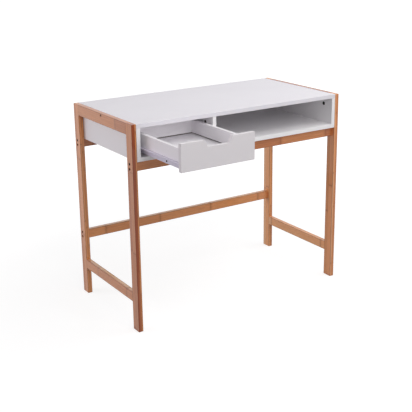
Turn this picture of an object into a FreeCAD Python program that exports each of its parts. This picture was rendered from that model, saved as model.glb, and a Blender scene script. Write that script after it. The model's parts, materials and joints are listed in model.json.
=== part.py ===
import FreeCAD, Part
import os
from math import sin, sqrt, tan

from FreeCAD import Vector

# Writing desk: a white board box carried between two flat bamboo ladder frames. One drawer on roller
# runners fills the left bay of the box, and the right bay is open to the front.
# Millimetres. +X points to the sitter's right, +Y away from the sitter and +Z up. The origin lies on the
# floor in the middle of the stored outline, which is taken with the drawer pulled out.

# Overall sizes
desk_width = 900.0
desk_depth = 450.0
desk_height = 750.0

# Bamboo side frames: two legs, a top rail and a low stretcher each
leg_thickness = 18.0
leg_width = 40.0
top_rail_height = 40.0
side_stretcher_height = 35.0
side_stretcher_base = 105.0
bamboo_edge_radius = 1.5

# Bamboo rails that run across the desk
apron_thickness = 18.0
apron_height = 35.0
apron_setback = 14.0
rear_stretcher_height = 35.0
rear_stretcher_base = 221.5

# Box of lacquered boards
board = 15.0
box_height = 130.0
drawer_bay_width = 288.0
board_edge_radius = 0.8
back_thickness = 5.0
back_inset = 10.0
groove_depth = 6.0
groove_play = 0.4

# Drawer box
front_gap = 3.0
front_thickness = 15.0
front_edge_radius = 1.0
grip_top_width = 110.0
grip_bottom_width = 84.0
grip_depth = 24.0
grip_top_radius = 4.0
grip_bottom_radius = 8.0
drawer_side_thickness = 12.0
drawer_side_height = 65.0
drawer_side_lift = 11.0
drawer_side_radius = 1.2
drawer_rear_room = 70.0
drawer_bottom_thickness = 3.0
drawer_bottom_lift = 12.0
drawer_groove_depth = 5.0
drawer_groove_height = 6.5

# Roller runners of folded steel, sized for the left side and mirrored to the right
side_gap = 12.5
sheet = 1.0
bend_radius = 0.5
running_gap = 0.3
cabinet_head_room = 1.0
drawer_head_room = 1.5
runner_setback = 2.0
runner_height = 22.0
runner_foot = 12.0
lip_height = 4.0
track_lip_height = 3.0
guide_width = 7.0
guide_headroom = 1.0
track_clearance = 0.5
front_roller_radius = 8.5
rear_roller_radius = 9.5
roller_inset = 12.0
roller_rim = 1.6
roller_hub_radius = 4.2
roller_dish = 0.7
roller_edge = 0.5
pin_radius = 2.5
pin_head_radius = 3.6
pin_fit = 0.05
stop_height = 4.0
runner_overlap = 85.0
short_of_stop = 13.0

# Fasteners
fastener_fit = 0.1
hole_overrun = 1.0
tip_room = 1.5
bolt_radius = 2.5
bolt_length = 55.0
bolt_head_radius = 5.0
bolt_head_length = 5.0
bolt_sink = 1.0
bolt_spacing = 17.5
hex_key = 4.0
hex_depth = 3.0
nut_radius = 5.0
nut_length = 14.0
nut_setback = 32.0
frame_dowel_radius = 4.0
frame_dowel_length = 40.0
frame_dowel_spacing = 18.0
rail_screw_radius = 2.25
rail_screw_length = 44.0
rail_screw_head_radius = 4.75
rail_screw_head_length = 4.0
rail_screw_sink = 1.0
apron_screw_radius = 2.0
apron_screw_length = 28.0
apron_screw_head_radius = 4.0
apron_screw_head_length = 2.5
apron_screw_sink = 14.0
apron_screw_inset = 200.0
box_screw_radius = 3.0
box_screw_length = 42.0
box_screw_head_radius = 4.75
box_screw_head_length = 3.0
box_screw_inset = 65.0
box_dowel_radius = 3.0
box_dowel_length = 30.0
box_dowel_depth = 10.0
box_dowel_inset = 140.0
cam_radius = 7.0
cam_depth = 12.0
cam_drop = 26.0
cam_inset = 48.0
cam_slot_length = 8.0
cam_slot_width = 2.0
cam_slot_depth = 2.5
cam_bolt_radius = 3.0
cam_bolt_neck_radius = 2.0
cam_bolt_neck_length = 4.0
cam_bolt_head_length = 2.0
cam_bolt_thread_radius = 2.5
cam_bolt_thread_length = 10.0
drawer_dowel_radius = 3.0
drawer_dowel_length = 25.0
drawer_dowel_depth = 10.0
drawer_fixing_inset = 12.0
drawer_fixing_spacing = 22.0
back_screw_radius = 1.75
back_screw_length = 32.0
back_screw_head_radius = 3.5
back_screw_head_length = 2.0
runner_screw_radius = 1.75
runner_screw_length = 9.0
runner_screw_head_radius = 3.2
cabinet_screw_head = 0.7
drawer_screw_head = 1.1
cabinet_screw_inset = 25.0
drawer_screw_inset = 88.0
drawer_screw_lift = 7.6
screw_slot_length = 3.6
screw_slot_width = 0.8
screw_slot_depth = 0.5

X = Vector(1, 0, 0)
Y = Vector(0, 1, 0)
Z = Vector(0, 0, 1)

# Drawer length and travel follow from the depth of the box
drawer_side_length = desk_depth - back_inset - back_thickness - drawer_rear_room - front_thickness
drawer_travel = drawer_side_length - runner_overlap
drawer_opening = drawer_travel - short_of_stop

# Main planes
left = -desk_width / 2
right = desk_width / 2
front = (drawer_opening - desk_depth) / 2
rear = front + desk_depth
middle = (front + rear) / 2
inner_left = left + leg_thickness
inner_right = right - leg_thickness
box_base = desk_height - box_height
box_floor = box_base + board
box_roof = desk_height - board
bay_left = inner_left + board
bay_right = bay_left + drawer_bay_width
bay_middle = (bay_left + bay_right) / 2
open_right = inner_right - board
back_front = rear - back_inset - back_thickness
front_joint = front + leg_width
rear_joint = rear - leg_width

pieces = {}
groups = {}
holes = {}


def block(x, y, z):
    """Solid between two limits in x, y and z."""
    x, y, z = sorted(x), sorted(y), sorted(z)
    return Part.makeBox(x[1] - x[0], y[1] - y[0], z[1] - z[0], Vector(x[0], y[0], z[0]))


def rod(radius, start, end):
    """Round bar between two points."""
    return Part.makeCylinder(radius, start.distanceToPoint(end), start, end - start)


def turned(start, direction, profile):
    """Solid of revolution about the line from start along direction, through (distance, radius) points."""
    across = X if abs(direction.dot(Z)) > 0.5 else Z
    points = [start + direction * along + across * radius for along, radius in profile]
    return Part.Face(Part.makePolygon(points + points[:1])).revolve(start, direction, 360)


def stepped(start, direction, steps):
    """Turned piece made of (length, radius) steps, one after the other."""
    profile = [(0, 0)]
    reach = 0
    for length, radius in steps:
        profile.append((reach, radius))
        reach += length
        profile.append((reach, radius))
    return turned(start, direction, profile + [(reach, 0)])


def screw(start, direction, head, shank, sink=0.0):
    """Headed screw and its hole. Head and shank are (length, radius); the head lies sink deep under start."""
    hole_head = (hole_overrun + sink + head[0], head[1] + fastener_fit)
    hole_shank = (shank[0] + tip_room, shank[1] + fastener_fit)
    solid = stepped(start + direction * sink, direction, [head, shank])
    hole = stepped(start - direction * hole_overrun, direction, [hole_head, hole_shank])
    return solid, hole


def dowel(radius, start, end):
    """Dowel between two points, and its hole with a little room at both ends."""
    room = (end - start).normalize() * fastener_fit
    return rod(radius, start, end), rod(radius + fastener_fit, start - room, end + room)


def hex_socket(start, direction, depth):
    """Six-sided recess in the head of a bolt that lies along X."""
    corner = Vector(0, hex_key / sqrt(3), 0)
    points = [start + FreeCAD.Rotation(X, 60 * i).multVec(corner) for i in range(7)]
    return Part.Face(Part.makePolygon(points)).extrude(direction * depth)


def cross_slot(start, direction, length, width, depth):
    """Crossed recess in the face of a round head that lies along X."""
    x = (start.x, start.x + direction.x * depth)
    arms = []
    for wide, high in ((length, width), (width, length)):
        y = (start.y - wide / 2, start.y + wide / 2)
        z = (start.z - high / 2, start.z + high / 2)
        arms.append(block(x, y, z))
    return arms[0].fuse(arms[1])


def outline(corners, y):
    """Flat face across the Y axis through (x, z, radius) corners, each rounded to its radius."""
    starts, mids, ends = [], [], []
    points = [Vector(x, y, z) for x, z, _ in corners]
    for i, (_, _, radius) in enumerate(corners):
        back = (points[i - 1] - points[i]).normalize()
        ahead = (points[(i + 1) % len(points)] - points[i]).normalize()
        half = back.getAngle(ahead) / 2
        inward = (back + ahead).normalize()
        starts.append(points[i] + back * (radius / tan(half)))
        mids.append(points[i] + inward * (radius / sin(half) - radius))
        ends.append(points[i] + ahead * (radius / tan(half)))
    edges = []
    for i, (_, _, radius) in enumerate(corners):
        if radius:
            edges.append(Part.Arc(starts[i], mids[i], ends[i]).toShape())
        edges.append(Part.LineSegment(ends[i], starts[(i + 1) % len(starts)]).toShape())
    return Part.Face(Part.Wire(edges))


def folded(chain, y, length):
    """Folded sheet along Y. The chain of (x, z) points is its right-hand face, with square corners."""
    run = [Vector(x, 0, z) for x, z in chain]
    ways = [(b - a).normalize() for a, b in zip(run, run[1:])]
    lefts = [Vector(-way.z, 0, way.x) for way in ways]
    inner, outer = [], []
    for i, point in enumerate(run):
        before, after = lefts[max(i - 1, 0)], lefts[min(i, len(lefts) - 1)]
        shift = before if before.isEqual(after, 1e-6) else before + after
        far = point + shift * sheet
        ends = i in (0, len(run) - 1)
        turn_left = not ends and ways[i - 1].dot(after) < 0
        tight, wide = (0, 0) if ends else (bend_radius, bend_radius + sheet)
        outer.append((point.x, point.z, wide if turn_left else tight))
        inner.append((far.x, far.z, tight if turn_left else wide))
    return outline(outer + inner[::-1], y).extrude(Y * length)


def along(shape, axis):
    """Straight edges of a shape that run along an axis."""
    return [e for e in shape.Edges if e.tangentAt(e.FirstParameter).cross(axis).Length < 1e-6]


def at_front(shape):
    """Edges of a board that lie in its front face."""
    return [e for e in shape.Edges if e.BoundBox.YMax < shape.BoundBox.YMin + 1e-3]


def fasten(group, fastener, through):
    """Add a fastener and its hole to the group, and the hole to every piece that it passes through."""
    solid, hole = fastener
    groups.setdefault(group, []).append(solid)
    for name in through:
        holes.setdefault(name, []).append(hole)


def bamboo_rail(x, y, z, axis):
    """Bamboo bar with its long edges rounded and its ends cut square."""
    bar = block(x, y, z)
    return bar.makeFillet(bamboo_edge_radius, along(bar, axis))


def side_frames():
    """Two legs, a top rail and a low stretcher for each side, joined by pairs of dowels."""
    rails = {
        "top_rail": (desk_height - top_rail_height, desk_height),
        "side_stretcher": (side_stretcher_base, side_stretcher_base + side_stretcher_height),
    }
    for side, x in (("left", (left, inner_left)), ("right", (inner_right, right))):
        for place, y in (("front", front), ("rear", rear_joint)):
            leg = block(x, (y, y + leg_width), (0, desk_height))
            pieces[f"{side}_{place}_leg"] = leg.makeFillet(bamboo_edge_radius, leg.Edges)
        for rail, z in rails.items():
            pieces[f"{side}_{rail}"] = bamboo_rail(x, (front_joint, rear_joint), z, Y)
            for place, y in (("front", front_joint), ("rear", rear_joint)):
                for offset in (-frame_dowel_spacing / 2, frame_dowel_spacing / 2):
                    centre = Vector(sum(x) / 2, y, sum(z) / 2 + offset)
                    reach = Y * (frame_dowel_length / 2)
                    pin = dowel(frame_dowel_radius, centre - reach, centre + reach)
                    fasten("frame_dowels", pin, (f"{side}_{place}_leg", f"{side}_{rail}"))


def cross_rails():
    """Front apron, rear apron and rear stretcher, each held at both ends by two bolts in barrel nuts."""
    rails = {
        "front_apron": ("front", front, box_base - apron_height, apron_height),
        "rear_apron": ("rear", rear_joint, box_base - apron_height, apron_height),
        "rear_stretcher": ("rear", rear_joint, rear_stretcher_base, rear_stretcher_height),
    }
    for rail, (place, leg_front, base, height) in rails.items():
        y = (leg_front + apron_setback, leg_front + apron_setback + apron_thickness)
        pieces[rail] = bamboo_rail((inner_left, inner_right), y, (base, base + height), X)
        for side, outer, inward in (("left", left, X), ("right", right, -X)):
            for offset in (-bolt_spacing / 2, bolt_spacing / 2):
                start = Vector(outer, sum(y) / 2, base + height / 2 + offset)
                bolt_and_nut(rail, f"{side}_{place}_leg", start, inward)


def bolt_and_nut(rail, leg, start, inward):
    """Socket-headed bolt through a leg into the end of a rail, and the barrel nut that it pulls on."""
    head, shank = (bolt_head_length, bolt_head_radius), (bolt_length, bolt_radius)
    bolt, hole = screw(start, inward, head, shank, bolt_sink)
    bolt = bolt.cut(hex_socket(start + inward * bolt_sink, inward, hex_depth))
    fasten("frame_bolts", (bolt, hole), (leg, rail))
    centre = start + inward * (leg_thickness + nut_setback)
    reach = Y * (nut_length / 2)
    nut = rod(nut_radius, centre - reach, centre + reach).cut(hole)
    mouth = centre + Y * (apron_thickness / 2 + hole_overrun)
    room = rod(nut_radius + fastener_fit, centre - reach - Y * fastener_fit, mouth)
    fasten("barrel_nuts", (nut, room), (rail,))


def box_boards():
    """Top, bottom, two sides, a divider and a thin back that sits in grooves."""
    uprights = (box_floor, box_roof)
    depth = (front, rear)
    pieces["top_panel"] = block((inner_left, inner_right), depth, (box_roof, desk_height))
    pieces["bottom_panel"] = block((inner_left, inner_right), depth, (box_base, box_floor))
    pieces["left_side_panel"] = block((inner_left, bay_left), depth, uprights)
    pieces["right_side_panel"] = block((open_right, inner_right), depth, uprights)
    divider_depth = (front, back_front - groove_play)
    pieces["divider_panel"] = block((bay_right, bay_right + board), divider_depth, uprights)
    for name in list(pieces):
        if name.endswith("_panel"):
            panel = pieces[name]
            edges = panel.Edges if name == "top_panel" else at_front(panel)
            pieces[name] = panel.makeFillet(board_edge_radius, edges)
    reach = groove_depth - groove_play
    back_x = (bay_left - reach, open_right + reach)
    back_y = (back_front, back_front + back_thickness)
    pieces["back_panel"] = block(back_x, back_y, (box_floor - groove_depth, box_roof + reach))
    groove = block(
        (bay_left - groove_depth, open_right + groove_depth),
        (back_y[0] - groove_play, back_y[1] + groove_play),
        (box_floor - groove_depth, box_roof + groove_depth),
    )
    for name in ("top_panel", "bottom_panel", "left_side_panel", "right_side_panel"):
        holes.setdefault(name, []).append(groove)


def box_fixings():
    """Cam locks under the top, screws up through the bottom, dowels in both, and the screws to the frame."""
    uprights = {
        "left_side_panel": (bay_left, -X),
        "divider_panel": (bay_right, X),
        "right_side_panel": (open_right, X),
    }
    for name, (face, inward) in uprights.items():
        x = face + inward.x * board / 2
        for y in (front + cam_inset, rear - cam_inset):
            cam_lock(name, Vector(face, y, box_roof - cam_drop), inward)
        for y in (front + box_screw_inset, rear - box_screw_inset):
            head, shank = (box_screw_head_length, box_screw_head_radius), (box_screw_length, box_screw_radius)
            fasten("box_screws", screw(Vector(x, y, box_base), Z, head, shank), ("bottom_panel", name))
        for y in (front + box_dowel_inset, rear - box_dowel_inset):
            for flat, level, up in (("top_panel", box_roof, Z), ("bottom_panel", box_floor, -Z)):
                end = Vector(x, y, level) + up * box_dowel_depth
                fasten("box_dowels", dowel(box_dowel_radius, end - up * box_dowel_length, end), (flat, name))
    for side, outer, inward in (("left", left, X), ("right", right, -X)):
        start = Vector(outer, middle, desk_height - board / 2)
        head, shank = (rail_screw_head_length, rail_screw_head_radius), (rail_screw_length, rail_screw_radius)
        solid, hole = screw(start, inward, head, shank, rail_screw_sink)
        solid = solid.cut(hex_socket(start + inward * rail_screw_sink, inward, hex_depth))
        fasten("top_rail_screws", (solid, hole), (f"{side}_top_rail", "top_panel"))
    for rail, leg_front in (("front_apron", front), ("rear_apron", rear_joint)):
        for x in (inner_left + apron_screw_inset, inner_right - apron_screw_inset):
            start = Vector(x, leg_front + apron_setback + apron_thickness / 2, box_base - apron_height)
            head = (apron_screw_head_length, apron_screw_head_radius)
            shank = (apron_screw_length, apron_screw_radius)
            fasten("apron_screws", screw(start, Z, head, shank, apron_screw_sink), (rail, "bottom_panel"))


def cam_lock(upright, face_point, inward):
    """Round cam in the face of an upright, and the bolt that hangs from the top panel into it."""
    cam = rod(cam_radius, face_point, face_point + inward * cam_depth)
    pocket_end = face_point + inward * (cam_depth + fastener_fit)
    pocket = rod(cam_radius + fastener_fit, face_point - inward * hole_overrun, pocket_end)
    axis_foot = face_point + inward * (board / 2)
    below = cam_drop - cam_bolt_neck_length - cam_bolt_head_length
    steps = [
        (cam_bolt_thread_length, cam_bolt_thread_radius),
        (below, cam_bolt_radius),
        (cam_bolt_neck_length, cam_bolt_neck_radius),
        (cam_bolt_head_length, cam_bolt_radius),
    ]
    bolt = stepped(axis_foot + Z * (cam_drop + cam_bolt_thread_length), -Z, steps)
    channel = rod(cam_bolt_radius + fastener_fit, axis_foot - Z * fastener_fit, axis_foot + Z * cam_drop)
    thread_top = axis_foot + Z * (cam_drop + cam_bolt_thread_length + fastener_fit)
    thread = rod(cam_bolt_thread_radius + fastener_fit, axis_foot + Z * cam_drop, thread_top)
    slot = cross_slot(face_point, inward, cam_slot_length, cam_slot_width, cam_slot_depth)
    fasten("cam_locks", (cam.cut([channel, slot]), pocket), (upright,))
    fasten("cam_bolts", (bolt, channel), (upright,))
    holes.setdefault("top_panel", []).append(thread)


# Planes of the drawer, as it stands open
drawer_front_y = front - drawer_opening
drawer_back_of_front = drawer_front_y + front_thickness
drawer_rear = drawer_back_of_front + drawer_side_length
drawer_left = bay_left + side_gap
drawer_right = bay_right - side_gap
drawer_inner_left = drawer_left + drawer_side_thickness
drawer_inner_right = drawer_right - drawer_side_thickness
drawer_base = box_floor + drawer_side_lift
drawer_top = drawer_base + drawer_side_height
drawer_floor = drawer_base + drawer_bottom_lift


def drawer_box():
    """Inset front with a hand grip cut into its top edge, two sides, a back and a bottom in grooves."""
    z = (box_floor + front_gap, box_roof - front_gap)
    panel = block((bay_left + front_gap, bay_right - front_gap), (drawer_front_y, drawer_back_of_front), z)
    panel = panel.makeFillet(front_edge_radius, panel.Edges)
    pieces["drawer_front"] = panel.cut(hand_grip(z[1]))
    length = (drawer_back_of_front, drawer_rear)
    height = (drawer_base, drawer_top)
    inner = (drawer_inner_left, drawer_inner_right)
    for name, x in (("left", (drawer_left, inner[0])), ("right", (inner[1], drawer_right))):
        side = block(x, length, height)
        pieces[f"drawer_{name}_side"] = side.makeFillet(drawer_side_radius, along(side, Y))
    back_y = (drawer_rear - drawer_side_thickness, drawer_rear)
    pieces["drawer_back"] = block(inner, back_y, height)
    reach = drawer_groove_depth - groove_play
    floor = (drawer_floor, drawer_floor + drawer_bottom_thickness)
    bottom_y = (length[0] - reach, back_y[0] + reach)
    pieces["drawer_bottom"] = block((inner[0] - reach, inner[1] + reach), bottom_y, floor)
    groove = block(
        (inner[0] - drawer_groove_depth, inner[1] + drawer_groove_depth),
        (length[0] - drawer_groove_depth, back_y[0] + drawer_groove_depth),
        (drawer_floor, drawer_floor + drawer_groove_height),
    )
    for name in ("drawer_front", "drawer_left_side", "drawer_right_side", "drawer_back"):
        holes.setdefault(name, []).append(groove)


def hand_grip(top):
    """Cutter for the hand grip: a trapezoid open at the top, with its corners rounded."""
    wide, narrow, over = grip_top_width / 2, grip_bottom_width / 2, grip_top_radius + hole_overrun
    half = [(wide + over, top + over, 0), (wide + over, top, 0), (wide, top, grip_top_radius)]
    half.append((narrow, top - grip_depth, grip_bottom_radius))
    corners = [(bay_middle + x, z, radius) for x, z, radius in half]
    corners += [(bay_middle - x, z, radius) for x, z, radius in reversed(half)]
    face = outline(corners, drawer_front_y - hole_overrun)
    return face.extrude(Y * (front_thickness + 2 * hole_overrun))


def drawer_fixings():
    """Dowels between the sides and the front, and screws through the sides into the back."""
    top_level = drawer_top - drawer_fixing_inset
    for name, outer, inward in (("left", drawer_left, X), ("right", drawer_right, -X)):
        side = f"drawer_{name}_side"
        for z in (top_level, top_level - drawer_fixing_spacing):
            start = Vector(outer, drawer_back_of_front, z) + inward * (drawer_side_thickness / 2)
            start -= Y * drawer_dowel_depth
            pin = dowel(drawer_dowel_radius, start, start + Y * drawer_dowel_length)
            fasten("drawer_dowels", pin, ("drawer_front", side))
            start = Vector(outer, drawer_rear - drawer_side_thickness / 2, z)
            head = (back_screw_head_length, back_screw_head_radius)
            shank = (back_screw_length, back_screw_radius)
            fasten("drawer_back_screws", screw(start, inward, head, shank), (side, "drawer_back"))


# Heights and offsets in the runner channel, from the wall of the bay to the side of the drawer
flange_top = drawer_base - sheet + runner_height
front_roller_z = flange_top - sheet - running_gap - front_roller_radius
track_top = front_roller_z - front_roller_radius - track_clearance
rear_roller_z = track_top + running_gap + rear_roller_radius
guide_under = max(flange_top, rear_roller_z + rear_roller_radius) + guide_headroom
outer_lip = bay_left + sheet + cabinet_head_room
roller_outer = outer_lip + sheet + running_gap
track_edge = drawer_left - sheet - drawer_head_room
roller_inner = track_edge - sheet - running_gap
runner_front = front + front_thickness + runner_setback
runner_length = drawer_side_length
front_roller_y = runner_front + roller_inset
closed_rear_roller_y = front + front_thickness + drawer_side_length - roller_inset
rear_roller_y = closed_rear_roller_y - drawer_opening


def mirrored(shape):
    """The same shape at the other side of the drawer bay."""
    return shape.mirror(Vector(bay_middle, 0, 0), X)


def add_pair(name, shape):
    """Add a left-hand piece and its mirror image."""
    pieces[f"left_{name}"] = shape
    pieces[f"right_{name}"] = mirrored(shape)


def fasten_pair(group, fastener, left_through, right_through):
    """Fasten at the left side and, mirrored, at the right side."""
    fasten(group, fastener, left_through)
    fasten(group, [mirrored(shape) for shape in fastener], right_through)


def cabinet_runners():
    """Channel on the wall of the bay: a track with a lip, a guide flange above it and two bent-up stops."""
    top = guide_under + sheet
    base = track_top - sheet
    chain = [
        (bay_left + guide_width, top),
        (bay_left, top),
        (bay_left, base),
        (track_edge, base),
        (track_edge, base + sheet + track_lip_height),
    ]
    channel = folded(chain, runner_front, runner_length)
    reach = rear_roller_radius + running_gap
    touch = sqrt(reach**2 - (reach - stop_height) ** 2)
    rear_stop = closed_rear_roller_y + touch
    front_stop = closed_rear_roller_y - drawer_travel - touch - sheet
    for y in (front_stop, rear_stop):
        tab = block((roller_outer, roller_inner), (y, y + sheet), (base + sheet / 2, track_top + stop_height))
        channel = channel.fuse(tab)
    add_pair("cabinet_runner", channel.removeSplitter())
    wall = ("left_cabinet_runner", "left_side_panel"), ("right_cabinet_runner", "divider_panel")
    ends = (cabinet_screw_inset, runner_length / 2, runner_length - cabinet_screw_inset)
    for y in ends:
        start = Vector(bay_left + sheet, runner_front + y, (base + top) / 2)
        fasten_pair("cabinet_runner_screws", runner_screw(start, -X, cabinet_screw_head), *wall)


def drawer_runners():
    """Profile round the foot of each drawer side, with a flange that rides on the front roller."""
    chain = [
        (drawer_left + runner_foot, drawer_base),
        (drawer_left, drawer_base),
        (drawer_left, flange_top),
        (outer_lip, flange_top),
        (outer_lip, flange_top - lip_height),
    ]
    rail = folded(chain, drawer_back_of_front, runner_length)
    notch_start = rear_roller_y - rear_roller_radius - guide_headroom
    notch = block(
        (bay_left, drawer_left - sheet),
        (notch_start, drawer_rear + hole_overrun),
        (drawer_base, flange_top + hole_overrun),
    )
    add_pair("drawer_runner", rail.cut(notch))
    side = ("left_drawer_runner", "drawer_left_side"), ("right_drawer_runner", "drawer_right_side")
    for y in (drawer_back_of_front + drawer_screw_inset, drawer_rear - drawer_screw_inset):
        start = Vector(drawer_left - sheet, y, drawer_base + drawer_screw_lift)
        fasten_pair("drawer_runner_screws", runner_screw(start, X, drawer_screw_head), *side)


def runner_screw(seat, direction, head_length):
    """Low pan-headed screw that holds a runner, with a crossed recess. Its head stands on the sheet."""
    top = seat - direction * head_length
    shank = (runner_screw_length, runner_screw_radius)
    solid, hole = screw(top, direction, (head_length, runner_screw_head_radius), shank)
    slot = cross_slot(top, direction, screw_slot_length, screw_slot_width, screw_slot_depth)
    return solid.cut(slot), hole


def roller(centre_y, centre_z, radius):
    """Moulded roller with a rounded tread and dished faces round its hub."""
    width = roller_inner - roller_outer
    bore = pin_radius + pin_fit
    dish = radius - roller_rim
    profile = [
        (0, bore),
        (0, roller_hub_radius),
        (roller_dish, roller_hub_radius),
        (roller_dish, dish),
        (0, dish),
        (0, radius - roller_edge),
        (roller_edge, radius),
        (width - roller_edge, radius),
        (width, radius - roller_edge),
        (width, dish),
        (width - roller_dish, dish),
        (width - roller_dish, roller_hub_radius),
        (width, roller_hub_radius),
        (width, bore),
    ]
    return turned(Vector(roller_outer, centre_y, centre_z), X, profile)


def roller_pin(head_face, direction, length):
    """Riveted pin with a flat head that keeps the roller on, and its hole in the sheet."""
    pin = stepped(head_face, direction, [(sheet, pin_head_radius), (length - sheet, pin_radius)])
    return pin, rod(pin_radius + pin_fit, head_face, head_face + direction * (length + hole_overrun))


def rollers_and_pins():
    """Front rollers turn on pins in the cabinet runners, rear rollers on pins in the drawer runners."""
    add_pair("front_roller", roller(front_roller_y, front_roller_z, front_roller_radius))
    add_pair("rear_roller", roller(rear_roller_y, rear_roller_z, rear_roller_radius))
    head = Vector(track_edge, front_roller_y, front_roller_z)
    pin = roller_pin(head, -X, track_edge - bay_left)
    fasten_pair("cabinet_roller_pins", pin, ("left_cabinet_runner",), ("right_cabinet_runner",))
    head = Vector(outer_lip, rear_roller_y, rear_roller_z)
    pin = roller_pin(head, X, drawer_left - outer_lip)
    fasten_pair("drawer_roller_pins", pin, ("left_drawer_runner",), ("right_drawer_runner",))


side_frames()
cross_rails()
box_boards()
box_fixings()
drawer_box()
drawer_fixings()
cabinet_runners()
drawer_runners()
rollers_and_pins()

for name, cutters in holes.items():
    pieces[name] = pieces[name].cut(cutters)
for name, members in groups.items():
    pieces[name] = Part.makeCompound(members)

os.makedirs("parts", exist_ok=True)
for name, shape in pieces.items():
    shape.exportStep(f"parts/{name}.step")
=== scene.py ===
"""Looks of the writing desk: finishes of its pieces, detailed fasteners, studio floor, lamps and camera."""
import json
import math

import bpy
import numpy as np
from mathutils import Matrix, Vector


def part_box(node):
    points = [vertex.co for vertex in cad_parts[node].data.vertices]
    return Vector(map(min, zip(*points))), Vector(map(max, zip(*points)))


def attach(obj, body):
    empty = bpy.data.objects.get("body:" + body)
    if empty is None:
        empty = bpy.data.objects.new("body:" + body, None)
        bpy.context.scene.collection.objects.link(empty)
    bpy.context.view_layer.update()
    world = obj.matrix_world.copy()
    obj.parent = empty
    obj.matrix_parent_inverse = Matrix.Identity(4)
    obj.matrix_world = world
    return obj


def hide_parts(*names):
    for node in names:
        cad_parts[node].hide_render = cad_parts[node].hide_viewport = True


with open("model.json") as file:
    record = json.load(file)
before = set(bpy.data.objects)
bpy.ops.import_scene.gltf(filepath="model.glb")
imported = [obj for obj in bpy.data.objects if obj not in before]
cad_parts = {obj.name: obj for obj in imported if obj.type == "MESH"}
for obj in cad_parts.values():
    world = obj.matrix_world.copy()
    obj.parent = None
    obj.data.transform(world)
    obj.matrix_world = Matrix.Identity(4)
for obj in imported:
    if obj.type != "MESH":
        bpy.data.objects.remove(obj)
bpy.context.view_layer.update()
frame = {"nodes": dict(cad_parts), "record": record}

MM = 0.001
X = Vector((1, 0, 0))
Y = Vector((0, 1, 0))
Z = Vector((0, 0, 1))

# Camera: solved from the corners of the legs, feet and top in the photo, which is 412 pixels wide
PHOTO_WIDTH = 412
FOCAL_PIXELS = 857.2
CENTRE_LINE_PIXEL = 175.0
CAMERA_AZIMUTH = math.radians(32.87)
CAMERA_ELEVATION = math.radians(16.32)
CAMERA_ROLL = math.radians(-0.78)
CAMERA_DISTANCE = 3.3043
CAMERA_AIM = Vector((-0.0148, 0.126, 0.4514))

# Bamboo: sizes of what shows in it. The middle layer and those next to it are together a little thinner
# than a bar, so that only the second ones from the middle, as thin skins, show in its wide faces, and no
# border between two layers lies there. Fibres are drawn coarser than real ones, so that they show
LAYER_THICKNESS = 5.9 * MM
SKIN_LAYER = 2
KNUCKLE_LINE = 3.5 * MM
KNUCKLE_BAND = 14 * MM
KNUCKLE_WANDER = 5 * MM
GLUE_LINE = 0.35 * MM
ARRIS_WIDTH = 3.5 * MM
FIBRE_WIDTH = 0.9 * MM
FIBRE_LENGTH = 55 * MM
STREAK_WIDTH = 4.5 * MM
STREAK_LENGTH = 260 * MM
GRAIN_RELIEF = 0.1 * MM

# Bamboo: its own colours, and those of the marks on it
DARK_BAMBOO = "984418"
LIGHT_BAMBOO = "FCAE6C"
# Pale bamboo past light: pale here and there by chance, and painted light on two right-hand bars
PALE_BAMBOO = "FFDCB0"
PINK_BAMBOO = "E08F66"
FIBRE_BROWN = "8C4A22"
KNUCKLE_BROWN = "843C18"
ARRIS_BROWN = "6E3214"
GLUE_BROWN = "7A4A28"

# Bamboo: how far strips, stretches between knuckles and streaks differ in tone, from dark, 0, to light, 1
STRIP_SPREAD = 0.6
STRETCH_SPREAD = 0.35
STREAK_SPREAD = 0.6

# Bamboo: the largest share that each mark's colour takes, and between which noise levels a fibre sets in
BLUSH_SHARE = 0.4
FIBRE_SHARE = 0.35
FIBRE_LEVELS = (0.35, 0.7)
KNUCKLE_LINE_SHARE = 0.3
KNUCKLE_BAND_SHARE = 0.2
ARRIS_SHARE = 0.6
GLUE_SHARE = 0.35

# Bamboo: satin lacquer, duller on the fibres, which stand a little proud of it
BAMBOO_ROUGHNESS = (0.34, 0.5)
FIBRE_RISE = 0.4
GRAIN_STRENGTH = 0.25

# How bars are cut: where the grain runs, where strips lie side by side, how wide they are, where a bar's
# middle lies in a strip, and how much strips differ in the places of their knuckles. A leg shows two
# strips and the edge of a third. A rail shows one, which is wider than the rail, so that no glue line
# lies in its edges
LEG = (Z, Y, 20 * MM, 0.85, 1.0)
SIDE_RAIL = (Y, Z, 44 * MM, 0.5, 0.0)
CROSS_RAIL = (X, Z, 54 * MM, 0.5, 0.0)

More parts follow.
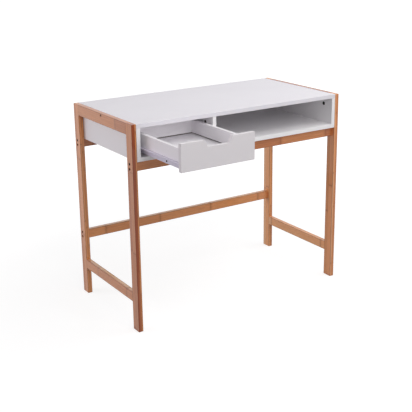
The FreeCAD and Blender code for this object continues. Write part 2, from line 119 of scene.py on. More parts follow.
# Each bar: how it is cut, and its shade, where dark is 0, light is 1 and more is paler still. Then how much
# darker its narrow edges are and how much lighter each layer in them is than the one before, where a minus
# sign turns these round. Then how far its first knuckle lies from its middle and how far apart knuckles
# are, and a seed. Shades differ by the bamboo's own tone, and the light ones of the right legs and the right
# side stretcher are also painted light on their wide faces, pale past 1 on the right rear leg and the right
# side stretcher. The lighter narrow edges of the left side stretcher and the rear stretcher are a painted
# reflection on their tops
BARS = {
    "left_front_leg": (LEG, 0.43, (0.2, -0.2), (40 * MM, 290 * MM), 2361),
    "left_rear_leg": (LEG, 0.6, (-0.11, 0.05), (90 * MM, 300 * MM), 1717),
    # Right legs: light shades are partly painted light on wide faces; the rear leg's dark edges keep it off
    # its front
    "right_front_leg": (LEG, 0.92, (0.12, 0.45), (10 * MM, 380 * MM), 1597),
    "right_rear_leg": (LEG, 1.4, (0.75, 0.1), (24 * MM, 310 * MM), 1477),
    "left_top_rail": (SIDE_RAIL, 0.58, (0.0, 0.0), (-103 * MM, 330 * MM), 1095),
    "right_top_rail": (SIDE_RAIL, 0.25, (0.4, 0.0), (20 * MM, 250 * MM), 2285),
    # Left side stretcher: its lighter top, which its underside shares, is a painted reflection
    "left_side_stretcher": (SIDE_RAIL, 0.75, (-0.9, 0.0), (90 * MM, 230 * MM), 986),
    # Right side stretcher: its pale shade is painted light on its wide faces
    "right_side_stretcher": (SIDE_RAIL, 1.6, (0.4, 0.0), (170 * MM, 330 * MM), 211),
    "front_apron": (CROSS_RAIL, 0.51, (0.0, 0.0), (186 * MM, 215 * MM), 2711),
    "rear_apron": (CROSS_RAIL, 0.35, (0.0, 0.0), (70 * MM, 230 * MM), 233),
    # Rear stretcher: its lighter top, which its underside shares, is a painted reflection
    "rear_stretcher": (CROSS_RAIL, 0.69, (-0.9, 0.0), (138 * MM, 245 * MM), 1030),
}

# White boards: orange peel and faint clouds of the lacquer, and the saw cut that holds the drawer's bottom,
# whose raw board is darkened as painted shade
ORANGE_PEEL = 2.5 * MM
PEEL_DEPTH = 0.05 * MM
PEEL_STRENGTH = 0.2
LACQUER_CLOUD = 120 * MM
CLOUD_GREY = "CFCBD2"
CLOUD_SHARE = 0.12
LACQUER_GLOSS_SPREAD = 0.05
GROOVE_HEIGHT = 6.5 * MM
GROOVE_PLAY = 0.5 * MM
GROOVE_SKIN = 0.1 * MM
# Raw board in the saw cut, darker than raw board is: painted shade in the slit above the drawer's bottom
SHADED_RAW_BOARD = "5A4A3C"

# Small hardware: grit of coats, plating and mouldings, drawn coarser than real grit, so that it shows
HARDWARE_GRIT = 0.4 * MM
GRIT_DEPTH = 0.02 * MM
GRIT_STRENGTH = 0.2
GRIT_GLOSS_SPREAD = 0.08
PATCH_LEVELS = (0.35, 0.65)

# Fasteners: how finely they are drawn, and the least angle of an edge that isn't smoothed
THREAD_SIDES = 24
ROWS_PER_TURN = 8
SIDES_PER_FLUTE = 4
SHARP_EDGE = math.radians(35)

# Screws: threads below this pitch are fine ones. Then shares: of a wood thread's pitch that its ridge
# takes, of the radius that is left at a point, and of a cross recess's reach that is half an arm's width
FINE_PITCH = 1.0 * MM
WOOD_RIDGE = 0.55
BLUNT_POINT = 0.15
CROSS_ARM = 0.25

# Dowels: pressed flutes and a chamfer at both ends
DOWEL_FLUTES = 24
FLUTE_DEPTH = 0.25 * MM
DOWEL_CHAMFER = 1.0 * MM

# Each screw, in millimetres: which way it is driven, its recess as kind, depth and reach from the axis,
# its plain part as depths below the head's face with a radius for each, and its thread as start, core
# radius, outer radius, pitch and length of the point
SCREWS = {
    "frame_bolts": (
        "to_desk_middle",
        ("hex", 3.0, 2.0),
        [(0, 4.5), (0.5, 5), (5, 5), (5, 2.5), (34, 2.5)],
        (34, 2.05, 2.5, 0.8, 1),
    ),
    "top_rail_screws": (
        "to_desk_middle",
        ("hex", 3.0, 2.0),
        [(0, 4.35), (0.4, 4.75), (4, 4.75), (4, 1.7), (16, 1.7)],
        (16, 1.5, 2.25, 2.2, 5),
    ),
    "apron_screws": (
        "up",
        ("cross", 1.6, 2.4),
        [(0, 3.6), (0.4, 4), (2.5, 4), (2.5, 1.5), (6, 1.5)],
        (6, 1.3, 2, 1.8, 4),
    ),
    "box_screws": (
        "up",
        ("hex", 2.0, 2.0),
        [(0, 4.35), (0.4, 4.75), (3, 4.75), (3, 2.6), (13, 2.6)],
        (13, 2.2, 3, 3, 3),
    ),
    "drawer_back_screws": (
        "to_drawer_middle",
        ("cross", 1.3, 2.1),
        [(0, 3.2), (0.3, 3.5), (2, 3.5), (2, 1.3), (6, 1.3)],
        (6, 1.15, 1.75, 1.6, 4),
    ),
    "cabinet_runner_screws": (
        "from_drawer_middle",
        ("cross", 0.5, 1.9),
        [(0, 2.9), (0.3, 3.2), (0.7, 3.2), (0.7, 1.3), (1.4, 1.3)],
        (1.4, 1.15, 1.75, 1.4, 3),
    ),
    "drawer_runner_screws": (
        "to_drawer_middle",
        ("cross", 0.8, 1.9),
        [(0, 2.8), (0.4, 3.2), (1.1, 3.2), (1.1, 1.3), (1.8, 1.3)],
        (1.8, 1.15, 1.75, 1.4, 3),
    ),
    "cam_bolts": (
        "up",
        ("cross", 0.8, 1.6),
        [(0, 2.7), (0.3, 3), (2, 3), (2, 2), (6, 2), (6, 3), (26, 3), (26, 2.1)],
        (26, 1.9, 2.5, 2, 1.5),
    ),
}
DOWELS = ("frame_dowels", "box_dowels", "drawer_dowels")

# Studio paper: half its width, how far out the desk's shadow fades, and its glow before and after that
FLOOR_REACH = 30.0
SHADOW_REACH = (0.9, 1.9)
PAPER_GLOW = (0.8, 1.0)
PAPER_GREY = "9A9A9A"

# Studio light: the surroundings as they light the desk and as they are seen, and the soft lamps as place,
# aim, width, power and colour
WHITE = (1, 1, 1, 1)
SURROUNDINGS = (0.26, 1.0)
LAMPS = {
    "overhead_front_softbox": (Vector((-0.2, -1.9, 2.5)), Vector((0, 0, 0.7)), 2.0, 20.0, "FFFFFF"),
    "overhead_right_softbox": (Vector((1.4, -0.6, 2.6)), Vector((0.2, 0.1, 0.6)), 2.0, 30.0, "FFFFFF"),
    "front_wall_softbox": (Vector((0, -4.2, 1.5)), Vector((0, 0, 0.6)), 3.2, 48.0, "FFFFFF"),
    "rear_left_softbox": (Vector((-5.2, 3.4, 1.9)), Vector((0, 0, 0.5)), 3.6, 140.0, "FFF7FF"),
}


def linear(code):
    """Linear colour of an sRGB hex code."""
    levels = np.array([int(code[i:i + 2], 16) for i in (0, 2, 4)]) / 255
    values = np.where(levels <= 0.04045, levels / 12.92, ((levels + 0.055) / 1.055) ** 2.4)
    return (*values.tolist(), 1.0)


def node(tree, kind, inputs=None, **settings):
    """Add one node and return its outputs. Settings are its properties, and inputs constants or links."""
    made = tree.nodes.new("ShaderNode" + kind)
    for name, value in settings.items():
        setattr(made, name, value)
    for key, value in (inputs or {}).items():
        if isinstance(value, bpy.types.NodeSocket):
            tree.links.new(value, made.inputs[key])
        else:
            made.inputs[key].default_value = value
    return made.outputs


def new_material(name):
    """Empty node material and its tree."""
    material = bpy.data.materials.new(name)
    material.use_nodes = True
    material.node_tree.nodes.clear()
    return material, material.node_tree


def finish(material, names):
    """Give these pieces this material."""
    for name in names:
        for slot in frame["nodes"][name].material_slots:
            slot.material = material


def bar_coordinates(tree, piece, along, across):
    """Place in a bar, from its middle, turned so that X runs along the grain, Y across the strips and Z
    through the layers. Then half the bar's size in these directions."""
    low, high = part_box(piece)
    turn = Matrix((along, across, along.cross(across)))
    grain = node(tree, "Mapping", {
        "Vector": node(tree, "TexCoord")["Object"],
        "Location": -(turn @ ((low + high) / 2)),
        "Rotation": turn.to_euler(),
    })[0]
    return grain, Vector(abs(side) for side in turn @ ((high - low) / 2))


def grain_noise(tree, grain, length, width, detail, seed):
    """Noise drawn out along the grain, in marks of about this length and width."""
    place = node(tree, "VectorMath", {
        0: grain,
        1: (1 / length, 1 / width, 1 / width),
        2: (seed, seed, seed),
    }, operation="MULTIPLY_ADD")[0]
    return node(tree, "TexNoise", {"Vector": place, "Scale": 1.0, "Detail": detail})["Fac"]


def knuckle_marks(tree, grain, strip, chance, streak, knuckles, scatter):
    """Share of dark colour at the knuckles, and a chance tone for each stretch between two of them.
    Knuckles cross a strip at even spaces, moved along by chance where strips are scattered, and wander a
    little with its streaks."""
    first, spacing = knuckles
    shift = node(tree, "Math", {0: chance, 1: scatter, 2: -first / spacing}, operation="MULTIPLY_ADD")[0]
    run = node(tree, "SeparateXYZ", {0: grain})["X"]
    even = node(tree, "Math", {0: run, 1: 1 / spacing, 2: shift}, operation="MULTIPLY_ADD")[0]
    wander = KNUCKLE_WANDER / spacing
    stalk = node(tree, "Math", {0: streak, 1: wander, 2: even}, operation="MULTIPLY_ADD")[0]
    number = node(tree, "CombineXYZ", {"X": node(tree, "Math", {0: stalk}, operation="FLOOR")[0]})[0]
    stretch = node(tree, "VectorMath", {0: strip, 1: number}, operation="ADD")[0]
    stretch_tone = node(tree, "TexWhiteNoise", {"Vector": stretch})["Value"]
    gap = node(tree, "Math", {0: stalk, 1: 0.5}, operation="PINGPONG")[0]
    dark = 0.0
    for width, share in ((KNUCKLE_LINE, KNUCKLE_LINE_SHARE), (KNUCKLE_BAND, KNUCKLE_BAND_SHARE)):
        mark = node(tree, "MapRange", {
            "Value": gap,
            "From Max": width / spacing,
            "To Min": share,
            "To Max": 0.0,
        }, interpolation_type="SMOOTHSTEP")[0]
        dark = node(tree, "Math", {0: mark, 1: dark}, operation="ADD")[0]
    return dark, stretch_tone


def glue_lines(tree, cells, strip_width):
    """Share of dark colour in the glue between strips, from how far a place is from the nearest border."""
    side = node(tree, "SeparateXYZ", {0: cells})["Y"]
    gap = node(tree, "Math", {0: side, 1: 0.5}, operation="PINGPONG")[0]
    return node(tree, "MapRange", {
        "Value": gap,
        "From Max": GLUE_LINE / strip_width,
        "To Min": GLUE_SHARE,
        "To Max": 0.0,
    })[0]


def darkened_arrises(tree, grain, half_size):
    """Share of dark colour along a bar's arrises. It falls off with the larger of two distances: to the
    nearest wide face, and to the nearest narrow edge."""
    reach = node(tree, "VectorMath", {0: grain}, operation="ABSOLUTE")[0]
    depth = node(tree, "VectorMath", {0: half_size, 1: reach}, operation="SUBTRACT")[0]
    inset = node(tree, "SeparateXYZ", {0: depth})
    return node(tree, "MapRange", {
        "Value": node(tree, "Math", {0: inset["Y"], 1: inset["Z"]}, operation="MAXIMUM")[0],
        "From Max": ARRIS_WIDTH,
        "To Min": ARRIS_SHARE,
        "To Max": 0.0,
    })[0]


def bamboo_tone(tree, layer, chances, shade, edge):
    """Tone at a place: the bar's shade, and about it a part by chance for the strip, the stretch and the
    streak. Layers that only the narrow edges show are darker than the skins by the edge's depth, and rise
    by a step from one to the next."""
    edge_depth, layer_step = edge
    spreads = (STRIP_SPREAD, STRETCH_SPREAD, STREAK_SPREAD)
    off_middle = node(tree, "Math", {0: layer}, operation="ABSOLUTE")[0]
    in_edge = node(tree, "Math", {0: off_middle, 1: SKIN_LAYER}, operation="LESS_THAN")[0]
    change = node(tree, "Math", {0: layer, 1: layer_step, 2: -edge_depth}, operation="MULTIPLY_ADD")[0]
    lowest = shade - sum(spreads) / 2
    tone = node(tree, "Math", {0: change, 1: in_edge, 2: lowest}, operation="MULTIPLY_ADD")[0]
    for chance, spread in zip(chances, spreads):
        tone = node(tree, "Math", {0: chance, 1: spread, 2: tone}, operation="MULTIPLY_ADD")[0]
    return tone


def bamboo_colour(tree, tone, chance):
    """Colour of a tone: from dark to light and on to pale, and by chance a blush on lighter strips."""
    # A tone past 1 turns pale: by chance here and there, and as painted light on two right-hand bars
    paler_and_painted_light = node(tree, "Math", {0: tone, 1: 1.0}, operation="SUBTRACT", use_clamp=True)[0]
    blush = node(tree, "Math", {0: chance, 1: BLUSH_SHARE}, operation="MULTIPLY")[0]
    pink = node(tree, "Math", {0: blush, 1: tone}, operation="MULTIPLY", use_clamp=True)[0]
    colour = linear(DARK_BAMBOO)
    for share, code in ((tone, LIGHT_BAMBOO), (paler_and_painted_light, PALE_BAMBOO), (pink, PINK_BAMBOO)):
        colour = node(tree, "Mix", {"Factor": share, 6: colour, 7: linear(code)}, data_type="RGBA")[2]
    return colour


def laminated_bamboo(piece, cut, shade, edge, knuckles, seed):
    """Laminated bamboo under clear satin lacquer: long strips of uneven tone, fine fibres, dark knuckles
    and thin glue lines. The grain runs along the bar, and its ends show the strips cut through."""
    along, across, strip_width, middle, scatter = cut
    material, tree = new_material("laminated_bamboo_satin_lacquer_" + piece)
    grain, half_size = bar_coordinates(tree, piece, along, across)
    cells = node(tree, "VectorMath", {
        0: grain,
        1: (0, 1 / strip_width, 1 / LAYER_THICKNESS),
        2: (seed + 0.5, middle, 0.5),
    }, operation="MULTIPLY_ADD")[0]
    strip = node(tree, "VectorMath", {0: cells}, operation="FLOOR")[0]
    layer = node(tree, "SeparateXYZ", {0: strip})["Z"]
    chance = node(tree, "SeparateXYZ", {0: node(tree, "TexWhiteNoise", {"Vector": strip})["Color"]})
    streak = grain_noise(tree, grain, STREAK_LENGTH, STREAK_WIDTH, 3.0, seed)
    fibre = grain_noise(tree, grain, FIBRE_LENGTH, FIBRE_WIDTH, 2.0, 0.0)
    fibre_mark = node(tree, "MapRange", {
        "Value": fibre,
        "From Min": FIBRE_LEVELS[0],
        "From Max": FIBRE_LEVELS[1],
        "To Min": 0.0,
        "To Max": FIBRE_SHARE,
    })[0]
    knuckle, stretch_tone = knuckle_marks(tree, grain, strip, chance["X"], streak, knuckles, scatter)
    arris = darkened_arrises(tree, grain, half_size)
    glue = glue_lines(tree, cells, strip_width)
    tone = bamboo_tone(tree, layer, (chance["Y"], stretch_tone, streak), shade, edge)
    colour = bamboo_colour(tree, tone, chance["Z"])
    marks = ((fibre_mark, FIBRE_BROWN), (knuckle, KNUCKLE_BROWN), (arris, ARRIS_BROWN), (glue, GLUE_BROWN))
    for share, code in marks:
        colour = node(tree, "Mix", {"Factor": share, 6: colour, 7: linear(code)}, data_type="RGBA")[2]
    roughness = node(tree, "MapRange", {
        "Value": fibre,
        "To Min": BAMBOO_ROUGHNESS[0],
        "To Max": BAMBOO_ROUGHNESS[1],
    })[0]
    # Glue lines lie a little deep, and fibres stand a little proud
    sunk = node(tree, "Math", {0: fibre, 1: -FIBRE_RISE, 2: glue}, operation="MULTIPLY_ADD")[0]
    bump = node(tree, "Bump", {
        "Height": sunk,
        "Strength": GRAIN_STRENGTH,
        "Distance": GRAIN_RELIEF,
    }, invert=True)[0]
    shader = node(tree, "BsdfPrincipled", {
        "Base Color": colour,
        "Roughness": roughness,
        "IOR": 1.5,
        "Normal": bump,
        "Specular IOR Level": 0.12,
        "Coat Weight": 0.7,
        "Coat Roughness": 0.2,
    })
    node(tree, "OutputMaterial", {"Surface": shader["BSDF"]})
    return material


def inside_box(tree, place, low, high):
    """1 where a place lies in a box and 0 elsewhere, from how far it is past the box's sides."""
    step = node(tree, "VectorMath", {0: place, 1: (low + high) / 2}, operation="SUBTRACT")[0]
    reach = node(tree, "VectorMath", {0: step}, operation="ABSOLUTE")[0]
    excess = node(tree, "VectorMath", {0: reach, 1: (high - low) / 2}, operation="SUBTRACT")[0]
    past = node(tree, "SeparateXYZ", {0: excess})
    flat = node(tree, "Math", {0: past["X"], 1: past["Y"]}, operation="MAXIMUM")[0]
    farthest = node(tree, "Math", {0: flat, 1: past["Z"]}, operation="MAXIMUM")[0]
    return node(tree, "Math", {0: farthest, 1: 0.0}, operation="LESS_THAN")[0]


def drawer_groove():
    """Low and high corner of the saw cut that holds the drawer's bottom, with a hair of room round it."""
    low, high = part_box("drawer_bottom")
    room = Vector((GROOVE_PLAY, GROOVE_PLAY, GROOVE_SKIN))
    return low - room, Vector((high.x, high.y, low.z + GROOVE_HEIGHT)) + room


def white_lacquer(name, code, roughness, groove=None):
    """White satin lacquer or foil on fibreboard: a faint orange peel in the gloss and a very slight
    cloudiness in the colour. A groove that was sawn afterwards shows the raw brown board, darkened as
    painted shade in its slit."""
    material, tree = new_material(name)
    place = node(tree, "TexCoord")["Object"]
    peel = node(tree, "TexNoise", {"Vector": place, "Scale": 1 / ORANGE_PEEL, "Detail": 1.0})["Fac"]
    cloud = node(tree, "TexNoise", {"Vector": place, "Scale": 1 / LACQUER_CLOUD, "Detail": 3.0})["Fac"]
    tint = node(tree, "MapRange", {"Value": cloud, "To Min": 0.0, "To Max": CLOUD_SHARE})[0]
    white, grey = [linear(tone) for tone in (code, CLOUD_GREY)]
    colour = node(tree, "Mix", {"Factor": tint, 6: white, 7: grey}, data_type="RGBA")[2]
    if groove:
        # The groove shows raw board, in a colour dark enough to be painted shade in its slit
        raw = inside_box(tree, place, *groove)
        colour = node(tree, "Mix", {"Factor": raw, 6: colour, 7: linear(SHADED_RAW_BOARD)}, data_type="RGBA")[2]
    gloss = node(tree, "MapRange", {
        "Value": cloud,
        "To Min": roughness - LACQUER_GLOSS_SPREAD,
        "To Max": roughness + LACQUER_GLOSS_SPREAD,
    })[0]
    bump = node(tree, "Bump", {"Height": peel, "Strength": PEEL_STRENGTH, "Distance": PEEL_DEPTH})[0]
    shader = node(tree, "BsdfPrincipled", {
        "Base Color": colour,
        "Roughness": gloss,
        "IOR": 1.5,
        "Normal": bump,
    })
    node(tree, "OutputMaterial", {"Surface": shader["BSDF"]})
    return material


def hardware_finish(name, tones, patch, roughness, metallic=0.0, specular=0.5):
    """Small hardware: two close tones in patches, and a finer grit in its gloss and surface."""
    material, tree = new_material(name)
    place = node(tree, "TexCoord")["Object"]
    cloud = node(tree, "TexNoise", {"Vector": place, "Scale": 1 / patch, "Detail": 3.0})["Fac"]
    share = node(tree, "MapRange", {
        "Value": cloud,
        "From Min": PATCH_LEVELS[0],
        "From Max": PATCH_LEVELS[1],
    })[0]
    first, second = [linear(tone) for tone in tones]
    colour = node(tree, "Mix", {"Factor": share, 6: first, 7: second}, data_type="RGBA")[2]
    grit = node(tree, "TexNoise", {"Vector": place, "Scale": 1 / HARDWARE_GRIT, "Detail": 2.0})["Fac"]
    gloss = node(tree, "MapRange", {
        "Value": grit,
        "To Min": roughness - GRIT_GLOSS_SPREAD,
        "To Max": roughness + GRIT_GLOSS_SPREAD,
    })[0]
    bump = node(tree, "Bump", {"Height": grit, "Strength": GRIT_STRENGTH, "Distance": GRIT_DEPTH})[0]
    shader = node(tree, "BsdfPrincipled", {
        "Base Color": colour,
        "Roughness": gloss,
        "Metallic": metallic,
        "Specular IOR Level": specular,
        "Normal": bump,
    })
    node(tree, "OutputMaterial", {"Surface": shader["BSDF"]})
    return material


def dress_pieces():
    """Give every piece its finish: bars their own bamboo, the rest that of their slot, and a few another."""
    for piece, look in BARS.items():
        finish(laminated_bamboo(piece, *look), [piece])
    by_slot = {}
    for part in frame["record"]["subparts"]:
        by_slot.setdefault(part["material_slot"], []).append(part["node"])
    groove = drawer_groove()
    finishes = {
        # Sprayed satin lacquer: an even soft sheen with clean bright edges. Its white, brighter than on the
        # top and the drawer front, is partly painted light on the boards that stand in shade inside the desk
        "white_board": white_lacquer("white_satin_lacquer", "F8F6F7", 0.38),
        # Foil on fibreboard: duller than lacquer, with raw brown board where it is sawn, darkened there as
        # painted shade
        "drawer_board": white_lacquer("white_foil_on_fibreboard", "F8F5F8", 0.45, groove),
        # Printed hardboard: matt white
        "white_hardboard": white_lacquer("white_faced_hardboard", "F3F0F3", 0.5),
        # Baked epoxy on folded steel: bluish white with a fine grit
        "coated_steel": hardware_finish("epoxy_coated_folded_steel", ("DCD7E6", "D4CFDF"), 6 * MM, 0.35),
        # Moulded nylon: milky and slightly uneven
        "nylon": hardware_finish("moulded_nylon", ("E4E3DC", "D6D4CA"), 3 * MM, 0.5),
        # Bare beech: matt tan with darker flecks
        "beech": hardware_finish("bare_turned_beech", ("CDA578", "B98C5F"), 1.5 * MM, 0.7),
        # Black oxide: a dark matt skin that hardly shines
        "black_steel": hardware_finish("black_oxide_steel", ("0A0908", "15110F"), 2 * MM, 0.8, specular=0.1),
        # Bright zinc plating: pale metal with bluish and yellowish clouds
        "zinc_steel": hardware_finish("zinc_plated_steel", ("B4B6BC", "BDB9A8"), 4 * MM, 0.35, metallic=1.0),
        # Die-cast zinc alloy: dark grey with a dull shine
        "cam_zinc": hardware_finish("die_cast_zinc", ("3A3836", "484541"), 3 * MM, 0.5, metallic=0.7),
    }
    for slot, material in finishes.items():
        finish(material, by_slot[slot])
    # Black oxide again: the screw beside the drawer shows as a dark dot
    finish(finishes["black_steel"], ["drawer_runner_screws"])
    # Epoxy-coated steel in dark grey as painted shade: the runners lie in the shade beside the drawer, and
    # this grey paints that shade onto them
    runner_coat_painted_shade = hardware_finish("epoxy_coated_steel_painted_shade", ("57565E", "4D4C54"), 6 * MM, 0.4)
    finish(runner_coat_painted_shade, ["left_cabinet_runner", "right_cabinet_runner"])
    # The same satin lacquer as on the other boards, in a slightly greyer white. The two whites are lit and
    # shaded
    # copies of one lacquer: the top and the drawer front stand in full light and take the greyer one as
    # painted shade, and the boards and foil in shade inside take the brighter one as painted light
    finish(white_lacquer("white_satin_lacquer_on_top", "EAE7ED", 0.38), ["top_panel"])
    finish(white_lacquer("white_satin_lacquer_on_drawer", "E3DEE1", 0.38, groove), ["drawer_front"])


def solids_of(name):
    """Low and high corner of each solid in a piece. Corners in the same hundredth of a millimetre get one
    number, and triangles give all their corners the lowest of their numbers, again and again, until each
    solid has one."""
    mesh = frame["nodes"][name].data
    points = np.empty(len(mesh.vertices) * 3)
    corners = np.empty(len(mesh.loops), dtype=np.int32)
    mesh.vertices.foreach_get("co", points)
    mesh.loops.foreach_get("vertex_index", corners)
    points = points.reshape(-1, 3)
    place = np.unique(np.round(points / MM, 2), axis=0, return_inverse=True)[1].reshape(-1)
    triangles = place[corners].reshape(-1, 3)
    number = np.arange(place.max() + 1)
    settled = False
    while not settled:
        lowest = number.copy()
        np.minimum.at(lowest, triangles, number[triangles].min(axis=1, keepdims=True))
        settled = np.array_equal(lowest, number)
        number = lowest
    groups = [points[number[place] == label] for label in np.unique(number)]
    return [(group.min(axis=0), group.max(axis=0)) for group in groups]


def driven(low, high, way):
    """Start, unit direction and length of a fastener in its box. It lies along the longest side, and is
    driven up, or to the middle of the desk, or to or from the middle of the drawer."""
    size = high - low
    axis = int(np.argmax(size))
    middle = (low + high) / 2
    drawer_middle = sum(corner.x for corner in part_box("drawer_front")) / 2
    sign = {
        "up": 1,
        "to_desk_middle": -np.sign(middle[axis]),
        "to_drawer_middle": np.sign(drawer_middle - middle[axis]),
        "from_drawer_middle": np.sign(middle[axis] - drawer_middle),
    }[way]
    direction = np.zeros(3)
    direction[axis] = sign
    return middle - direction * size[axis] / 2, direction, size[axis]


def turned_rows(depth, radius, start, direction):
    """Points of a turned surface: at each depth, a ring whose radius may change with the angle."""
    side = np.roll(np.abs(direction), 1)
    up = np.cross(direction, side)
    angle = np.linspace(0, 2 * np.pi, radius.shape[1], endpoint=False)
    ring = np.cos(angle)[:, None] * side + np.sin(angle)[:, None] * up
    return start + depth[:, None, None] * direction + radius[:, :, None] * ring


def closed_faces(rows, sides, first):
    """Faces of a closed turned surface, whose points are numbered from first on: a pole, the rings and a
    pole. Walls of four-sided faces join the rings, and a fan of triangles joins each pole to the ring
    next to it."""
    ring = np.arange(sides)
    turn = np.roll(ring, -1) - ring
    near = first + 1 + np.arange(rows - 1)[:, None] * sides + ring
    walls = np.stack([near, near + turn, near + turn + sides, near + sides], axis=-1).reshape(-1, 4)
    top = first + 1 + ring
    end = top + (rows - 1) * sides
    top_fan = np.stack([np.full(sides, first), top + turn, top], axis=-1)
    end_fan = np.stack([end, end + turn, np.full(sides, first + 1 + rows * sides)], axis=-1)
    return walls.tolist() + top_fan.tolist() + end_fan.tolist()


def recess_edge(kind, reach, angle):
    """Radius of a recess at each angle. A hex is its reach over the cosine from the nearest flat's
    middle. A cross is its reach, or half an arm's width over the sine from the nearest arm's middle where
    that is less."""
    if kind == "hex":
        return reach / np.cos((angle + np.pi / 6) % (np.pi / 3) - np.pi / 6)
    from_arm = np.abs((angle + np.pi / 4) % (np.pi / 2) - np.pi / 4)
    return reach * CROSS_ARM / np.maximum(np.sin(from_arm), CROSS_ARM)


def threaded(recess, plain, thread, length):
    """Depths and radii of a screw: the recess, the plain part, then a thread. Its radius rises from the
    core to the outer size in a ridge that moves one pitch along per turn, fades in over a turn, and
    shrinks to the point. A fine thread's ridge takes up its whole pitch, and a wood thread's only part."""
    angle = np.linspace(0, 2 * np.pi, THREAD_SIDES, endpoint=False)
    kind, recess_depth, reach = recess
    edge = recess_edge(kind, reach * MM, angle)
    begin, core, outer, pitch, point = np.array(thread) * MM
    count = int((length - begin) / pitch * ROWS_PER_TURN)
    depth = np.linspace(begin, length, count, endpoint=False)
    phase = (depth[:, None] / pitch - angle / (2 * np.pi)) % 1
    ridge_width = 1.0 if pitch < FINE_PITCH else WOOD_RIDGE
    ridge = np.clip(1 - 2 / ridge_width * np.abs(phase - 0.5), 0, 1)
    fade = np.clip((depth - begin) / pitch, 0, 1)[:, None]
    taper = np.clip((length - depth) / point, BLUNT_POINT, 1)[:, None]
    screw = (core + (outer - core) * ridge * fade) * taper
    plain = np.array(plain) * MM
    flat = np.repeat(plain[:, 1:], THREAD_SIDES, axis=1)
    depths = np.concatenate([[recess_depth * MM, 0.0], plain[:, 0], depth])
    return depths, np.concatenate([[edge, edge], flat, screw])


def fluted(radius, length):
    """Depths and radii of a dowel: chamfered ends, and between them flutes as a cosine of the angle."""
    angle = np.linspace(0, 2 * np.pi, DOWEL_FLUTES * SIDES_PER_FLUTE, endpoint=False)
    wave = radius - FLUTE_DEPTH * (0.5 - 0.5 * np.cos(DOWEL_FLUTES * angle))
    narrow = np.full_like(angle, radius - DOWEL_CHAMFER)
    depths = np.array([0.0, DOWEL_CHAMFER, length / 2, length - DOWEL_CHAMFER, length])
    return depths, np.stack([narrow, wave, wave, wave, narrow])


def make_fastener(name, shapes):
    """One piece from the rings of several like fasteners. It stands for the plain ones of the same name."""
    points = np.empty((0, 3))
    faces = []
    for depths, radii, start, direction, length in shapes:
        faces += closed_faces(*radii.shape, len(points))
        rings = turned_rows(depths, radii, start, direction).reshape(-1, 3)
        poles = start + np.outer([depths[0], length], direction)
        points = np.concatenate([points, poles[:1], rings, poles[1:]])
    mesh = bpy.data.meshes.new(name + "_detailed")
    mesh.from_pydata(points.tolist(), [], faces)
    mesh.polygons.foreach_set("use_smooth", np.ones(len(mesh.polygons), dtype=bool))
    mesh.set_sharp_from_angle(angle=SHARP_EDGE)
    plain = frame["nodes"][name]
    mesh.materials.append(plain.material_slots[0].material)
    piece = bpy.data.objects.new(name + "_detailed", mesh)
    bpy.context.scene.collection.objects.link(piece)
    bodies = frame["record"]["behaviour"]["bodies"]
    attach(piece, next(body for body, nodes in bodies.items() if name in nodes))
    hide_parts(name)


def detail_fasteners():
    """Replace the plain screws and dowels by threaded and fluted ones of the same size and place."""
    for name, (way, recess, plain, thread) in SCREWS.items():
        shapes = []
        for low, high in solids_of(name):
            start, direction, length = driven(low, high, way)
            shapes.append((*threaded(recess, plain, thread, length), start, direction, length))
        make_fastener(name, shapes)
    for name in DOWELS:
        shapes = []
        for low, high in solids_of(name):
            start, direction, length = driven(low, high, "to_desk_middle")
            radius = (high - low).min() / 2
            shapes.append((*fluted(radius, length), start, direction, length))
        make_fastener(name, shapes)


def seen_rays(tree):
    """1 for rays that see a surface straight, in a reflection or through glass, and 0 for others."""
    path = node(tree, "LightPath")
    seen = path["Is Camera Ray"]
    for ray in ("Is Glossy Ray", "Is Transmission Ray"):
        seen = node(tree, "Math", {0: seen, 1: path[ray]}, operation="MAXIMUM")[0]
    return seen


def lay_floor():
    """Pale studio paper. It is seen almost white round the desk, with the desk's shadow still in it, and
    white farther off."""
    mesh = bpy.data.meshes.new("studio_floor")
    corners = [(x * FLOOR_REACH, y * FLOOR_REACH, 0) for x, y in ((-1, -1), (1, -1), (1, 1), (-1, 1))]
    mesh.from_pydata(corners, [], [(0, 1, 2, 3)])
    floor = bpy.data.objects.new("studio_floor", mesh)
    bpy.context.scene.collection.objects.link(floor)
    material, tree = new_material("pale_studio_paper")
    paper = node(tree, "BsdfDiffuse", {"Color": linear(PAPER_GREY)})[0]
    far = node(tree, "VectorMath", {0: node(tree, "TexCoord")["Object"]}, operation="LENGTH")["Value"]
    white = node(tree, "MapRange", {
        "Value": far,
        "From Min": SHADOW_REACH[0],
        "From Max": SHADOW_REACH[1],
        "To Min": PAPER_GLOW[0],
        "To Max": PAPER_GLOW[1],
    }, interpolation_type="SMOOTHSTEP")[0]
    strength = node(tree, "Math", {0: seen_rays(tree), 1: white}, operation="MULTIPLY")[0]
    glow = node(tree, "Emission", {"Color": WHITE, "Strength": strength})[0]
    both = node(tree, "AddShader", {0: paper, 1: glow})[0]
    node(tree, "OutputMaterial", {"Surface": both})
    mesh.materials.append(material)


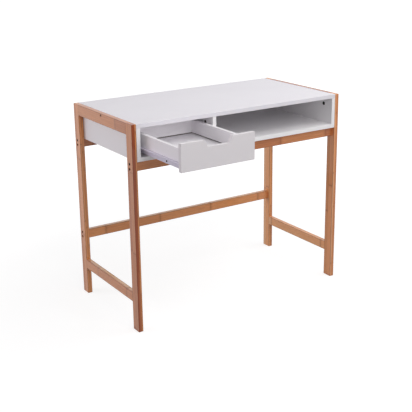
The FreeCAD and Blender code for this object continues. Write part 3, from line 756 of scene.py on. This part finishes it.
def light_studio():
    """Even white surroundings with two softboxes overhead, a wall of light in front, and one far behind
    at the left with a very slight rose tint."""
    world = bpy.data.worlds.new("studio")
    world.use_nodes = True
    tree = world.node_tree
    tree.nodes.clear()
    strength = node(tree, "MapRange", {
        "Value": seen_rays(tree),
        "To Min": SURROUNDINGS[0],
        "To Max": SURROUNDINGS[1],
    })[0]
    back = node(tree, "Background", {"Color": WHITE, "Strength": strength})[0]
    node(tree, "OutputWorld", {"Surface": back})
    bpy.context.scene.world = world
    for name, (place, aim, width, power, tint) in LAMPS.items():
        light = bpy.data.lights.new(name, "AREA")
        light.size = width
        light.energy = power
        light.color = linear(tint)[:3]
        lamp = bpy.data.objects.new(name, light)
        lamp.location = place
        lamp.rotation_euler = (aim - place).to_track_quat("-Z", "Y").to_euler()
        bpy.context.scene.collection.objects.link(lamp)


def set_camera():
    """Camera at the photo's viewing angle, aimed at a point in the desk and rolled as the photo is."""
    flat = math.cos(CAMERA_ELEVATION)
    back = Vector((
        -math.sin(CAMERA_AZIMUTH) * flat,
        -math.cos(CAMERA_AZIMUTH) * flat,
        math.sin(CAMERA_ELEVATION),
    ))
    right = Z.cross(back).normalized()
    up = back.cross(right)
    rolled_right = right * math.cos(CAMERA_ROLL) + up * math.sin(CAMERA_ROLL)
    rolled_up = up * math.cos(CAMERA_ROLL) - right * math.sin(CAMERA_ROLL)
    data = bpy.data.cameras.new("photo_camera")
    data.lens = FOCAL_PIXELS / PHOTO_WIDTH * data.sensor_width
    data.shift_y = CENTRE_LINE_PIXEL / PHOTO_WIDTH - 0.5
    camera = bpy.data.objects.new("photo_camera", data)
    turn = Matrix((rolled_right, rolled_up, back)).transposed().to_4x4()
    camera.matrix_world = Matrix.Translation(CAMERA_AIM + back * CAMERA_DISTANCE) @ turn
    bpy.context.scene.collection.objects.link(camera)
    bpy.context.scene.camera = camera


dress_pieces()
detail_fasteners()
lay_floor()
light_studio()
set_camera()
bpy.context.scene.view_settings.view_transform = "Standard"
